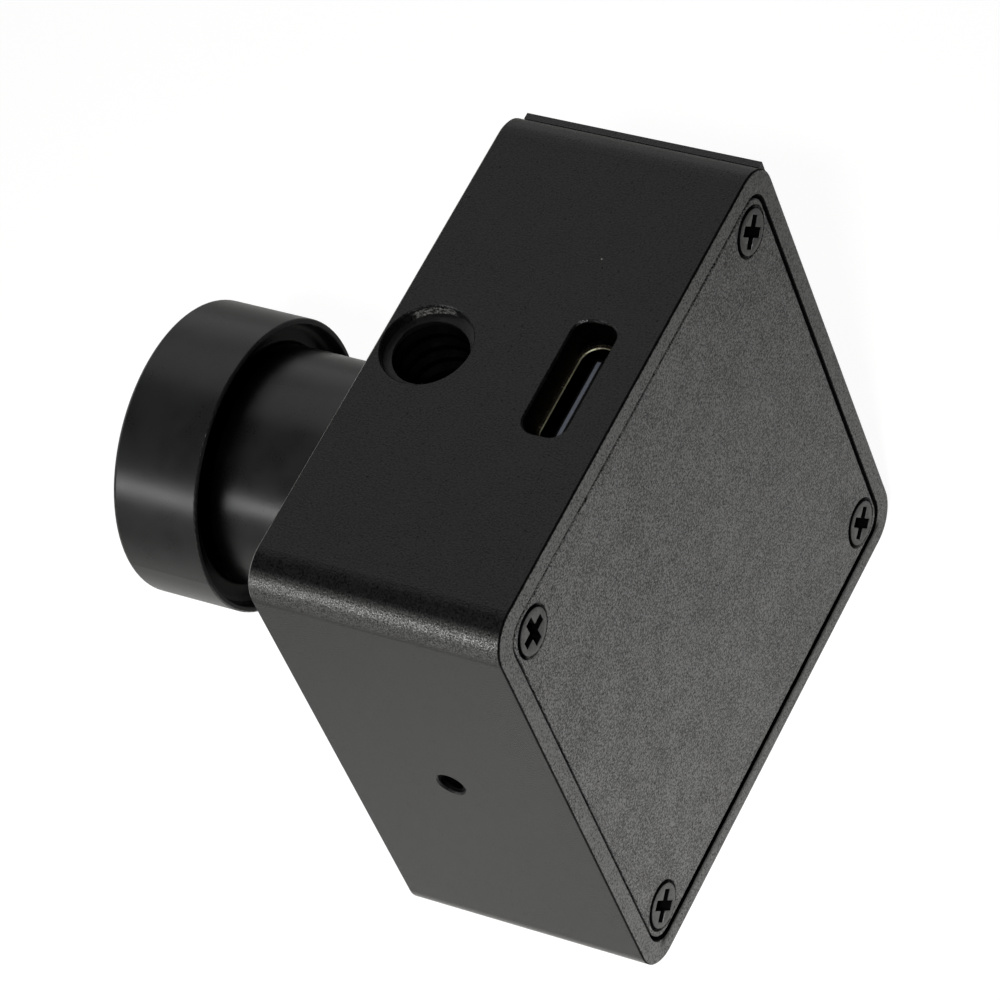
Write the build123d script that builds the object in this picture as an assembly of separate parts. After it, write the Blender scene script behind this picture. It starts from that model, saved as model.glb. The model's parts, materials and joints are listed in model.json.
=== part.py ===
from build123d import *

import os

# Small box camera: a square machined case, a turned screw-in lens and one circuit board.
# X points to the set screw side, Y to the back cover and Z up, all in millimetres.
# The origin is the middle of the bottom face. The lens looks along -Y.

# Case
case_width = 40.0
case_height = 40.0
case_depth = 18.6
case_corner_radius = 2.6
case_edge_chamfer = 0.15
case_back_edge_break = 0.08
case_side_wall = 2.2
case_rim_wall = 1.45
case_rim_edge_break = 0.1
case_front_thickness = 7.7
cavity_corner_radius = 1.0
post_radius = 2.6
post_tap_depth = 5.6

# Back cover and its screws
cover_gap = 0.25
cover_thickness = 1.6
cover_sink = 0.07
cover_corner_radius = 1.5
cover_screw_inset = 3.7
cover_screw_head_radius = 1.65
cover_screw_head_gap = 0.2
cover_screw_head_height = 1.05
cover_screw_seat_depth = 1.0
cover_screw_shank_radius = 0.95
cover_screw_length = 5.0
cover_hole_gap = 0.2
cover_edge_break = 0.06
cross_length = 2.4
cross_width = 0.68
cross_depth = 0.7
cross_turns = {(-1, 1): 46.0, (-1, -1): 45.6, (1, 1): -2.3, (1, -1): 56.4}

# Every screw: clearance in its tapped hole, and the broken edge of its head
tap_gap = 0.05
screw_edge_break = 0.2

# Thin plate on the left side
side_plate_thickness = 0.5
side_plate_end_margin = 1.7
side_plate_front_margin = 0.15
side_plate_back_margin = 0.7

# Tripod thread, in the top face
tripod_radius = 3.175
tripod_mouth_radius = 3.25
tripod_mouth_depth = 0.1
tripod_depth = 7.0
tripod_drill_cone = 1.2
tripod_from_front = 3.5

# Lens mount in the case
lens_boss_radius = 9.5
lens_mouth_chamfer = 0.3
thread_gap = 0.05
sensor_pocket_radius = 7.0
sensor_pocket_depth = 0.35
rib_width = 5.0

# Set screw that locks the lens
set_screw_radius = 0.95
set_screw_length = 4.0
set_screw_tip_gap = 0.05
set_screw_tip_radius = 0.5
set_screw_tip_length = 0.5
set_screw_socket_size = 0.9
set_screw_socket_depth = 1.2
set_screw_mouth_chamfer = 0.12
set_screw_from_back = 9.45

# Lens barrel, turned in one piece with its head
lens_thread_radius = 6.0
lens_thread_chamfer = 0.3
lens_shoulder_gap = 0.8
barrel_radius = 8.45
barrel_chamfer = 0.3
head_start = 15.1
head_length = 6.8
head_front_round = 0.35
head_rim_wall = 0.4
head_recess_width = 1.55
head_rim_round = 0.12
head_recess_depth = 1.2
head_recess_round = 0.55
head_neck_round = 0.3
lens_sensor_gap = 0.5

# Bores and glass of the lens, from its rear end forwards
element_gap = 0.05
filter_radius = 4.8
filter_thickness = 0.3
filter_recess_depth = 0.5
rear_lip_radius = 3.9
rear_lip_length = 1.4
rear_element_radius = 4.7
rear_element_edge = 1.6
rear_spacer_length = 7.6
rear_spacer_wall = 0.9
middle_element_radius = 5.75
third_element_edge = 2.4
stop_thickness = 0.3
stop_opening_radius = 2.2
middle_spacer_length = 3.2
middle_spacer_wall = 1.0
second_element_edge = 2.0
inner_ring_radius = 7.15
inner_ring_length = 1.6
inner_ring_wall = 2.2
front_element_radius = 8.8
front_element_edge = 2.9
front_ring_length = 1.2
front_ring_wall = 1.2
front_ring_sink = 0.4
ring_notch_width = 1.2
ring_notch_depth = 0.6

# Rise of each glass surface, rear then front, inside its flat edge; a negative rise is hollow
glass_edge_gap = 0.1
front_element_rises = (-1.4, 1.3)
second_element_rises = (-0.5, -0.5)
third_element_rises = (0.7, 0.0)
rear_element_rises = (0.3, 0.5)

# Circuit board
board_thickness = 1.2
board_side_gap = 0.3
board_post_gap = 0.35
board_corner_radius = 0.6
land_radius = 2.0
land_from_post_x = 4.9
land_from_post_z = 2.1
board_screw_head_radius = 1.45
board_screw_head_height = 1.0
board_screw_shank_radius = 0.75
board_screw_length = 3.8
board_tap_extra = 0.4
board_hole_gap = 0.15
board_screw_cross_length = 1.7
board_screw_cross_width = 0.4
board_screw_cross_depth = 0.45
board_screw_turn = 20.0
gasket_thickness = 0.4
gasket_inner_radius = 7.5
gasket_outer_radius = 9.1

# USB type C port on the board
port_from_back = 4.45
port_mouth_depth = 2.25
port_slot_length = 9.2
port_slot_width = 3.2
port_slot_corner_radius = 1.1
port_slot_edge_break = 0.1
shell_width = 8.94
shell_height = 3.26
shell_wall = 0.3
shell_length = 7.35
shell_leg_width = 1.1
shell_leg_thickness = 0.3
shell_leg_rows = (1.6, 5.6)
shell_leg_gap = 0.15
shell_leg_beyond_board = 0.25
insulator_length = 2.2
insulator_gap = 0.02
tongue_width = 6.69
tongue_thickness = 0.7
tongue_sink = 0.1
contact_count = 12
contact_pitch = 0.5
contact_width = 0.26
contact_thickness = 0.06
contact_tip_gap = 0.7
contact_tail_length = 1.0
contact_tail_thickness = 0.15

# Parts soldered to the board: width, height and thickness, then place from the lens axis
sensor_body = (9.4, 8.2, 0.45)
sensor_glass_size = (8.6, 7.4, 0.35)
processor_size = (9.0, 9.0, 0.9)
processor_place = (0.0, -1.0)
memory_size = (4.9, 3.9, 1.4)
memory_from_board_end = 7.1
memory_height = 2.0
memory_lead = (0.4, 1.0, 0.2)
memory_lead_pitch = 1.27
memory_lead_count = 4
crystal_size = (3.2, 2.5, 0.75)
crystal_place = (9.0, 4.6)
inductor_size = (3.0, 3.0, 1.3)
inductor_places = ((9.4, -4.4), (9.4, -9.0))
regulator_size = (2.9, 1.6, 1.05)
regulator_places = ((4.2, -12.4), (-1.2, -12.4))
capacitor_size = (1.6, 0.8, 0.8)
capacitor_places = (
    (-6.6, -11.4), (-9.4, -11.4), (6.8, 8.4), (-6.6, 8.4), (-9.4, -5.0), (-9.4, -7.0),
    (-6.4, 5.4), (6.4, 1.8), (-6.4, -7.8), (6.2, -7.6),
)
resistor_size = (1.0, 0.5, 0.35)
resistor_places = (
    (-3.4, -7.2), (-1.4, -7.2), (0.8, -7.2), (2.8, -7.2), (-3.4, 5.6), (-1.4, 5.6), (1.0, 5.6), (3.2, 5.6),
)
chip_edge = 0.1

# Planes and heights that the sizes above give
board_half_width = case_width / 2 - case_side_wall - board_side_gap
memory_place = (memory_from_board_end - board_half_width, memory_height)
front_y = -case_depth / 2
back_y = case_depth / 2
axis_z = case_height / 2
cover_outer_y = back_y - cover_sink
cover_inner_y = cover_outer_y - cover_thickness
cavity_floor_y = front_y + case_front_thickness
port_y = back_y - port_from_back
port_mouth_z = case_height - port_mouth_depth
board_back_y = port_y - shell_height / 2
board_front_y = board_back_y - board_thickness
boss_rear_y = board_front_y - gasket_thickness
sensor_glass_y = board_front_y - sensor_body[2]
sensor_front_y = sensor_glass_y - sensor_glass_size[2]
set_screw_y = back_y - set_screw_from_back
tripod_y = front_y + tripod_from_front
screw_x = case_width / 2 - cover_screw_inset
screw_z = case_height / 2 - cover_screw_inset
land_x = screw_x - land_from_post_x
land_z = screw_z - land_from_post_z
head_radius = barrel_radius + head_recess_width + head_rim_wall
corners = [(x, z) for x in (-1, 1) for z in (-1, 1)]

# Steps of the lens, as distances in front of the case's front face
lens_rear = front_y - (sensor_front_y - lens_sensor_gap)
rear_lip = lens_rear + filter_recess_depth
rear_seat = rear_lip + rear_lip_length
rear_spacer_start = rear_seat + rear_element_edge
middle_seat = rear_spacer_start + rear_spacer_length
stop_start = middle_seat + third_element_edge
middle_spacer_start = stop_start + stop_thickness
second_start = middle_spacer_start + middle_spacer_length
inner_ring_start = second_start + second_element_edge
head_front = head_start + head_length
front_ring_start = head_front - front_ring_sink - front_ring_length
front_seat = front_ring_start - front_element_edge
recess_floor = head_start + head_recess_depth


def slab(outline, rear_y, fore_y):
    """A plate from rear_y forwards to fore_y, with its outline drawn about the lens axis."""
    face = Plane((0, rear_y, axis_z), x_dir=(1, 0, 0), z_dir=(0, -1, 0)) * outline
    return extrude(face, amount=rear_y - fore_y)


def at_corners(outline, x, z):
    """Four copies of an outline, at x and z either side of the lens axis."""
    return Sketch() + [Pos(side * x, level * z) * outline for side, level in corners]


def turned(edges):
    """A solid turned about the lens axis, from a closed outline of radius and distance forward."""
    outline = make_face(edges)
    solid = revolve(outline, axis=Axis.Y)
    return Pos(0, front_y, axis_z) * mirror(solid, Plane.XZ)


def ring(outer, inner, start, length):
    """A plain turned ring or tube."""
    end = start + length
    return turned(Polyline((inner, start), (outer, start), (outer, end), (inner, end), close=True))


def chip(size, place, face_y, direction=1):
    """A moulded block on one face of the board, with its upper edges broken."""
    width, height, thickness = size
    block = Box(width, thickness, height)
    top = block.faces().sort_by(Axis.Y)[-1 if direction > 0 else 0]
    block = chamfer(top.edges(), chip_edge)
    return Pos(place[0], face_y + direction * thickness / 2, axis_z + place[1]) * block


def cross(length, width):
    """The outline of a cross recess."""
    return Rectangle(length, width) + Rectangle(width, length)


def screw(head_radius, head_height, shank_radius, length, seat_y, recess, recess_depth, turn):
    """A flat-headed screw whose head sits on seat_y, with a cross recess in its head."""
    head = slab(Circle(head_radius), seat_y + head_height, seat_y)
    rear_edges = head.faces().sort_by(Axis.Y)[-1].edges()
    head = chamfer(rear_edges, min(screw_edge_break, head_height / 4))
    shank = slab(Circle(shank_radius), seat_y, seat_y - length)
    socket = slab(Rot(0, 0, turn) * recess, seat_y + head_height, seat_y + head_height - recess_depth)
    return head + shank - socket


def case_body():
    """The machined case: solid front with the lens mount, open back with corner posts."""
    outline = RectangleRounded(case_width, case_height, case_corner_radius)
    body = slab(outline, back_y, front_y)
    body = chamfer(body.faces().sort_by(Axis.Y)[0].edges(), case_edge_chamfer)
    body = chamfer(body.faces().sort_by(Axis.Y)[-1].edges(), case_back_edge_break)
    seat_corner = cover_corner_radius + cover_gap
    seat = RectangleRounded(case_width - 2 * case_rim_wall, case_height - 2 * case_rim_wall, seat_corner)
    body -= slab(seat, back_y, cover_inner_y)
    rim = body.faces().sort_by(Axis.Y)[-1]
    body = chamfer(rim.inner_wires().edges(), case_rim_edge_break)
    cavity = RectangleRounded(
        case_width - 2 * case_side_wall, case_height - 2 * case_side_wall, cavity_corner_radius
    )
    cavity -= at_corners(Circle(post_radius), screw_x, screw_z)
    cavity -= at_corners(Circle(land_radius), land_x, land_z)
    body -= slab(cavity, cover_inner_y, cavity_floor_y)
    body -= slab(at_corners(Circle(land_radius), land_x, land_z), cover_inner_y, board_front_y)
    body += lens_boss()
    body -= lens_bore()
    body -= set_screw_hole() + tripod_hole() + port_slot()
    taps = at_corners(Circle(cover_screw_shank_radius + tap_gap), screw_x, screw_z)
    body -= slab(taps, cover_inner_y, cover_inner_y - post_tap_depth)
    land_taps = at_corners(Circle(board_screw_shank_radius + tap_gap), land_x, land_z)
    land_tap_depth = board_screw_length - board_thickness + board_tap_extra
    body -= slab(land_taps, board_front_y, board_front_y - land_tap_depth)
    return body


def lens_boss():
    """The round boss behind the front wall, and the rib that leads the set screw to it."""
    inner_wall_x = case_width / 2 - case_side_wall
    rib = Pos(inner_wall_x / 2, 0) * Rectangle(inner_wall_x, rib_width)
    return slab(Circle(lens_boss_radius) + rib, boss_rear_y, cavity_floor_y)


def lens_bore():
    """The bore for the lens thread, its mouth and the pocket round the sensor."""
    radius = lens_thread_radius + thread_gap
    bore = slab(Circle(radius), boss_rear_y, front_y)
    pocket = slab(Circle(sensor_pocket_radius), boss_rear_y, boss_rear_y - sensor_pocket_depth)
    mouth = Plane((0, front_y, axis_z), z_dir=(0, 1, 0)) * Circle(radius + lens_mouth_chamfer)
    return bore + pocket + extrude(mouth, amount=lens_mouth_chamfer, taper=45)


def set_screw_hole():
    """The tapped hole that runs in from the right side to the lens thread, with its chamfered mouth."""
    radius = set_screw_radius + tap_gap
    start = Plane((0, set_screw_y, axis_z), z_dir=(1, 0, 0))
    side = Plane((case_width / 2, set_screw_y, axis_z), z_dir=(-1, 0, 0))
    mouth = Solid.make_cone(radius + set_screw_mouth_chamfer, radius, set_screw_mouth_chamfer, plane=side)
    return extrude(start * Circle(radius), amount=case_width / 2) + mouth


def tripod_hole():
    """The tapped tripod hole in the top face, with its countersunk mouth and drilled end."""
    top = Plane((0, tripod_y, case_height), z_dir=(0, 0, -1))
    bore = extrude(top * Circle(tripod_radius), amount=tripod_depth)
    end = Plane((0, tripod_y, case_height - tripod_depth), z_dir=(0, 0, -1))
    cone = Solid.make_cone(tripod_radius, 0, tripod_drill_cone, plane=end)
    mouth = Solid.make_cone(tripod_mouth_radius, tripod_radius, tripod_mouth_depth, plane=top)
    return bore + cone + mouth


def port_slot():
    """The rounded slot in the top face, in front of the port, with its edge broken."""
    top = Plane((0, port_y, case_height), z_dir=(0, 0, -1))
    outline = RectangleRounded(port_slot_length, port_slot_width, port_slot_corner_radius)
    mouth = offset(outline, port_slot_edge_break)
    edge = extrude(top * mouth, amount=port_slot_edge_break, taper=45)
    return extrude(top * outline, amount=case_side_wall) + edge


def back_cover():
    """The flat cover, let into the back of the case, with four sunk screw seats."""
    inset = case_rim_wall + cover_gap
    outline = RectangleRounded(case_width - 2 * inset, case_height - 2 * inset, cover_corner_radius)
    plate = slab(outline, cover_outer_y, cover_inner_y)
    plate = chamfer(plate.faces().sort_by(Axis.Y)[-1].edges(), cover_edge_break)
    seats = at_corners(Circle(cover_screw_head_radius + cover_screw_head_gap), screw_x, screw_z)
    holes = at_corners(Circle(cover_screw_shank_radius + cover_hole_gap), screw_x, screw_z)
    plate -= slab(seats, cover_outer_y, cover_outer_y - cover_screw_seat_depth)
    return plate - slab(holes, cover_outer_y, cover_inner_y)


def cover_screws():
    """Four cover screws, each left at its own turn."""
    seat_y = cover_outer_y - cover_screw_seat_depth
    recess = cross(cross_length, cross_width)
    return [
        Pos(x * screw_x, 0, z * screw_z)
        * screw(
            cover_screw_head_radius, cover_screw_head_height, cover_screw_shank_radius, cover_screw_length,
            seat_y, recess, cross_depth, cross_turns[(x, z)],
        )
        for x, z in corners
    ]


def side_plate():
    """The thin plate bonded to the left side."""
    height = case_height - 2 * side_plate_end_margin
    depth = case_depth - side_plate_front_margin - side_plate_back_margin
    x = -case_width / 2 - side_plate_thickness / 2
    y = front_y + side_plate_front_margin + depth / 2
    return Pos(x, y, axis_z) * Box(side_plate_thickness, depth, height)


def lens_set_screw():
    """The headless screw that presses on the lens thread, with a hexagon socket."""
    tip_x = lens_thread_radius + set_screw_tip_gap
    tip = Plane((tip_x, set_screw_y, axis_z), z_dir=(1, 0, 0))
    shank = Plane((tip_x + set_screw_tip_length, set_screw_y, axis_z), z_dir=(1, 0, 0))
    end = Plane((tip_x + set_screw_length, set_screw_y, axis_z), z_dir=(-1, 0, 0))
    point = Solid.make_cone(set_screw_tip_radius, set_screw_radius, set_screw_tip_length, plane=tip)
    rod = extrude(shank * Circle(set_screw_radius), amount=set_screw_length - set_screw_tip_length)
    socket = RegularPolygon(set_screw_socket_size / 2, 6, major_radius=False)
    return point + rod - extrude(end * socket, amount=set_screw_socket_depth)


def lens_barrel():
    """The barrel: thread, smooth tube and wide head with a hollowed back, bored in steps."""
    rim_inner = head_radius - head_rim_wall
    front_bore = front_element_radius + element_gap
    ring_bore = inner_ring_radius + element_gap
    middle_bore = middle_element_radius + element_gap
    rear_bore = rear_element_radius + element_gap
    filter_bore = filter_radius + element_gap
    profile = make_face(
        Polyline(
            (filter_bore, lens_rear),
            (lens_thread_radius - lens_thread_chamfer, lens_rear),
            (lens_thread_radius, lens_rear + lens_thread_chamfer),
            (lens_thread_radius, lens_shoulder_gap),
            (barrel_radius - barrel_chamfer, lens_shoulder_gap),
            (barrel_radius, lens_shoulder_gap + barrel_chamfer),
            (barrel_radius, recess_floor),
            (rim_inner, recess_floor),
            (rim_inner, head_start),
            (head_radius, head_start),
            (head_radius, head_front),
            (front_bore, head_front),
            (front_bore, front_seat),
            (ring_bore, front_seat),
            (ring_bore, inner_ring_start),
            (middle_bore, inner_ring_start),
            (middle_bore, middle_seat),
            (rear_bore, middle_seat),
            (rear_bore, rear_seat),
            (rear_lip_radius, rear_seat),
            (rear_lip_radius, rear_lip),
            (filter_bore, rear_lip),
            close=True,
        )
    )
    profile = round_corner(profile, barrel_radius, recess_floor, head_neck_round)
    profile = round_corner(profile, rim_inner, recess_floor, head_recess_round)
    profile = round_corner(profile, rim_inner, head_start, head_rim_round)
    profile = round_corner(profile, head_radius, head_start, head_rim_round)
    profile = round_corner(profile, head_radius, head_front, head_front_round)
    solid = revolve(profile, axis=Axis.Y)
    return Pos(0, front_y, axis_z) * mirror(solid, Plane.XZ)


def round_corner(profile, radius, forward, rounding):
    """Rounds the corner of a profile that lies at this radius and distance forward."""
    corner = profile.vertices().sort_by_distance((radius, forward, 0))[0]
    return fillet(corner, rounding)


def glass(radius, start, edge, rises, rear_seat_inner, front_seat_inner):
    """A lens element with two spherical faces, flat where the pieces on either side bear on it."""
    rear_clear = rear_seat_inner - glass_edge_gap
    front_clear = front_seat_inner - glass_edge_gap
    rear_rise, front_rise = rises
    rear_line = Line((rear_clear, start), (radius, start))
    side_line = Line((radius, start), (radius, start + edge))
    front_line = Line((radius, start + edge), (front_clear, start + edge))
    front_curve = cap((front_clear, start + edge), front_rise)
    axis_line = Line((0, start + edge + front_rise), (0, start - rear_rise))
    rear_curve = cap((rear_clear, start), -rear_rise)
    return turned([rear_line, side_line, front_line, front_curve, axis_line, rear_curve])


def cap(edge_point, rise):
    """Half of a spherical face: an arc from its edge to the lens axis, or a line if it is flat."""
    clear, forward = edge_point
    top = (0, forward + rise)
    if rise == 0:
        return Line(edge_point, top)
    sphere = (clear**2 + rise**2) / (2 * abs(rise))
    middle_drop = sphere - (sphere**2 - (clear / 2) ** 2) ** 0.5
    middle = (clear / 2, forward + rise - middle_drop * rise / abs(rise))
    return ThreePointArc(edge_point, middle, top)


def notched_ring(outer, inner, start, length):
    """A threaded retaining ring, with two notches in its front face for a spanner."""
    body = ring(outer, inner, start, length)
    front = front_y - start - length
    notch = slab(Rectangle(2 * outer, ring_notch_width), front + ring_notch_depth, front)
    return body - notch


def main_board():
    """The circuit board, cut back round the posts and drilled for its screws and the port."""
    inset = case_side_wall + board_side_gap
    outline = RectangleRounded(case_width - 2 * inset, case_height - 2 * inset, board_corner_radius)
    outline -= at_corners(Circle(post_radius + board_post_gap), screw_x, screw_z)
    outline -= at_corners(Circle(board_screw_shank_radius + board_hole_gap), land_x, land_z)
    leg_slot = Rectangle(shell_leg_thickness + 2 * shell_leg_gap, shell_leg_width + 2 * shell_leg_gap)
    outline -= [Pos(x, z - axis_z) * leg_slot for x, z in shell_legs()]
    return slab(outline, board_back_y, board_front_y)


def shell_legs():
    """Centres of the port shell's four legs, in X and Z."""
    x = shell_width / 2 - shell_leg_thickness / 2
    return [(side * x, port_mouth_z - row) for side in (-1, 1) for row in shell_leg_rows]


def board_screws():
    """Four small screws that hold the board to the lands in the case."""
    recess = cross(board_screw_cross_length, board_screw_cross_width)
    return [
        Pos(x * land_x, 0, z * land_z)
        * screw(
            board_screw_head_radius, board_screw_head_height, board_screw_shank_radius,
            board_screw_length, board_back_y, recess, board_screw_cross_depth, board_screw_turn * x * z,
        )
        for x, z in corners
    ]


def sensor_gasket():
    """The foam ring between the lens mount and the board, which keeps dust off the sensor."""
    outline = Circle(gasket_outer_radius) - Circle(gasket_inner_radius)
    return slab(outline, board_front_y, boss_rear_y)


def port_plane(depth):
    """A plane across the port, this far below its mouth, looking into it."""
    return Plane((0, port_y, port_mouth_z - depth), x_dir=(1, 0, 0), z_dir=(0, 0, -1))


def port_shell():
    """The port's folded metal shell, with its four legs through the board."""
    outline = SlotOverall(shell_width, shell_height)
    outline -= SlotOverall(shell_width - 2 * shell_wall, shell_height - 2 * shell_wall)
    shell = extrude(port_plane(0) * outline, amount=shell_length)
    leg_length = port_y - board_front_y + shell_leg_beyond_board
    leg = Box(shell_leg_thickness, leg_length, shell_leg_width)
    for x, z in shell_legs():
        shell += Pos(x, port_y - leg_length / 2, z) * leg
    return shell


def port_tongue():
    """The moulded insulator: a block in the back of the shell and the thin tongue before it."""
    block_width = shell_width - 2 * (shell_wall + insulator_gap)
    block_height = shell_height - 2 * (shell_wall + insulator_gap)
    block_start = shell_length - insulator_length
    block = extrude(port_plane(block_start) * SlotOverall(block_width, block_height), amount=insulator_length)
    outline = Rectangle(tongue_width, tongue_thickness)
    tongue = extrude(port_plane(tongue_sink) * outline, amount=block_start - tongue_sink)
    return block + tongue


def port_contacts():
    """Contacts on both faces of the tongue, and their tails on the board behind the shell."""
    start = tongue_sink + contact_tip_gap
    length = shell_length - insulator_length - start
    lift = (tongue_thickness + contact_thickness) / 2
    first = -(contact_count - 1) * contact_pitch / 2
    contacts = []
    for number in range(contact_count):
        x = first + number * contact_pitch
        for face in (-1, 1):
            blade = Box(contact_width, contact_thickness, length)
            contacts.append(Pos(x, port_y + face * lift, port_mouth_z - start - length / 2) * blade)
        tail = Box(contact_width, contact_tail_thickness, contact_tail_length)
        tail_z = port_mouth_z - shell_length - contact_tail_length / 2
        contacts.append(Pos(x, board_back_y + contact_tail_thickness / 2, tail_z) * tail)
    return contacts


def memory_chip():
    """The memory chip, with a row of leads along each long side."""
    body = chip(memory_size, memory_place, board_back_y + memory_lead[2])
    lead_span = memory_size[1] + 2 * memory_lead[1]
    lead = Box(memory_lead[0], memory_lead[2], lead_span)
    for number in range(memory_lead_count):
        x = memory_place[0] + (number - (memory_lead_count - 1) / 2) * memory_lead_pitch
        body += Pos(x, board_back_y + memory_lead[2] / 2, axis_z + memory_place[1]) * lead
    return body


def chips(size, places):
    """Like parts on the back of the board, as separate solids."""
    return [chip(size, place, board_back_y) for place in places]


def camera():
    """Every piece of the camera, by name."""
    rear_spacer_inner = rear_element_radius - rear_spacer_wall
    middle_spacer_inner = middle_element_radius - middle_spacer_wall
    inner_ring_inner = inner_ring_radius - inner_ring_wall
    front_ring_inner = front_element_radius - front_ring_wall
    stop = (middle_element_radius, stop_opening_radius, stop_start, stop_thickness)
    filter_start = rear_lip - filter_thickness
    return {
        "case_body": case_body(),
        "back_cover": back_cover(),
        "cover_screws": cover_screws(),
        "side_plate": side_plate(),
        "lens_set_screw": lens_set_screw(),
        "lens_barrel": lens_barrel(),
        "front_retaining_ring": notched_ring(
            front_element_radius, front_ring_inner, front_ring_start, front_ring_length
        ),
        "front_lens_element": glass(
            front_element_radius, front_seat, front_element_edge, front_element_rises,
            inner_ring_radius, front_ring_inner,
        ),
        "inner_retaining_ring": notched_ring(
            inner_ring_radius, inner_ring_inner, inner_ring_start, inner_ring_length
        ),
        "second_lens_element": glass(
            middle_element_radius, second_start, second_element_edge, second_element_rises,
            middle_spacer_inner, inner_ring_inner,
        ),
        "middle_spacer": ring(
            middle_element_radius, middle_spacer_inner, middle_spacer_start, middle_spacer_length
        ),
        "aperture_stop": ring(*stop),
        "third_lens_element": glass(
            middle_element_radius, middle_seat, third_element_edge, third_element_rises,
            rear_spacer_inner, stop_opening_radius,
        ),
        "rear_spacer": ring(
            rear_element_radius, rear_spacer_inner, rear_spacer_start, rear_spacer_length
        ),
        "rear_lens_element": glass(
            rear_element_radius, rear_seat, rear_element_edge, rear_element_rises,
            rear_lip_radius, rear_spacer_inner,
        ),
        "infrared_filter": slab(
            Circle(filter_radius), front_y - filter_start, front_y - rear_lip
        ),
        "main_board": main_board(),
        "board_screws": board_screws(),
        "sensor_gasket": sensor_gasket(),
        "image_sensor": chip(sensor_body, (0, 0), board_front_y, -1),
        "sensor_cover_glass": chip(sensor_glass_size, (0, 0), sensor_glass_y, -1),
        "port_shell": port_shell(),
        "port_tongue": port_tongue(),
        "port_contacts": port_contacts(),
        "video_processor": chip(processor_size, processor_place, board_back_y),
        "memory_chip": memory_chip(),
        "clock_crystal": chip(crystal_size, crystal_place, board_back_y),
        "power_inductors": chips(inductor_size, inductor_places),
        "voltage_regulators": chips(regulator_size, regulator_places),
        "capacitors": chips(capacitor_size, capacitor_places),
        "resistors": chips(resistor_size, resistor_places),
    }


def main():
    """Writes each piece to its own file."""
    os.makedirs("parts", exist_ok=True)
    for name, shape in camera().items():
        if isinstance(shape, list):
            shape = Compound(children=shape)
        export_step(shape, f"parts/{name}.step")


main()
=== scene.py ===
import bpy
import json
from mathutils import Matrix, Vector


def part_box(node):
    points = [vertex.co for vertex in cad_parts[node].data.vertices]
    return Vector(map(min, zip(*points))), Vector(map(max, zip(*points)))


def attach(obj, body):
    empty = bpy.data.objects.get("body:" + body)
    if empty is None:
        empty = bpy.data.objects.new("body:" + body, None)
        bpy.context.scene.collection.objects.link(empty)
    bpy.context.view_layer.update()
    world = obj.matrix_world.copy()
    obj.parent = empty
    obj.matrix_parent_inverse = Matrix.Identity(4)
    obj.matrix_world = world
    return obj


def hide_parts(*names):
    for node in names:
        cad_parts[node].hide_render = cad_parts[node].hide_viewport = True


bl_info = {
    "name": "Box Camera",
    "version": (1, 0, 0),
    "blender": (4, 5, 0),
    "location": "3D View > Sidebar > Box Camera",
    "description": "Threads, screws, port, glass, finishes and studio for the small box camera",
    "category": "Object",
}

import json
import math

import bmesh
import bpy
from bpy.props import FloatProperty, FloatVectorProperty, IntProperty, PointerProperty
from mathutils import Quaternion, Vector

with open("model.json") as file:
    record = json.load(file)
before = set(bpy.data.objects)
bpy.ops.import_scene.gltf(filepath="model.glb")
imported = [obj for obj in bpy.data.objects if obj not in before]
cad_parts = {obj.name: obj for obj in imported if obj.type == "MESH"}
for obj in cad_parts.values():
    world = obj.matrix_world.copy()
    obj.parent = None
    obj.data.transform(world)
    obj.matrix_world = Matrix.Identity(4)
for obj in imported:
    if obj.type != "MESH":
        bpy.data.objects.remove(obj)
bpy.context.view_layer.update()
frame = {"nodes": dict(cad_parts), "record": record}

MM = 0.001
# Near black for the cover's dark pores, and for painted shade in holes, gaps and hollows.
PORE_AND_SHADE_BLACK = (0.0008, 0.0008, 0.0008)
RECORD_SLOTS = {part["node"]: part["material_slot"] for part in frame["record"]["subparts"]}


def colour_setting(name, description, colour):
    """A colour property with its default."""
    return FloatVectorProperty(
        name=name, description=description, default=colour, size=3, min=0.0, max=1.0, subtype="COLOR"
    )


def length_setting(name, description, millimetres):
    """A length property, given in millimetres and kept in metres."""
    return FloatProperty(
        name=name, description=description, default=millimetres * MM, min=0.0, unit="LENGTH", precision=5
    )


def angle_setting(name, description, degrees):
    """An angle property, given in degrees."""
    return FloatProperty(name=name, description=description, default=math.radians(degrees), unit="ROTATION")


def place_setting(name, description, place):
    """A point in the scene, in metres."""
    return FloatVectorProperty(name=name, description=description, default=place, size=3, unit="LENGTH")


def level_setting(name, description, level, most=1000.0):
    """A power, a brightness or a share, which isn't negative."""
    return FloatProperty(name=name, description=description, default=level, min=0.0, max=most)


class CameraColours(bpy.types.PropertyGroup):
    """Colours of the camera's finishes."""

    case: colour_setting("Case", "Black anodising of the case", (0.0055, 0.0055, 0.0055))
    # This colour is also painted on the case's back rim.
    cover: colour_setting("Cover", "Anodising of the back cover and the rim round it", (0.122, 0.122, 0.1195))
    lens: colour_setting("Lens", "Satin black of the lens barrel", (0.0135, 0.0135, 0.0137))
    screws: colour_setting("Screws", "Black oxide of the screws", (0.075, 0.075, 0.073))
    coating: colour_setting("Coating", "Tint of the coated front glass", (0.35, 0.75, 0.62))
    board: colour_setting("Board", "Solder mask of the circuit board", (0.003, 0.03, 0.014))
    port_metal: colour_setting("Port metal", "Plating of the port's shell", (0.78, 0.68, 0.47))
    tongue: colour_setting("Tongue", "Moulded plastic of the port's tongue", (0.10, 0.11, 0.14))


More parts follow.
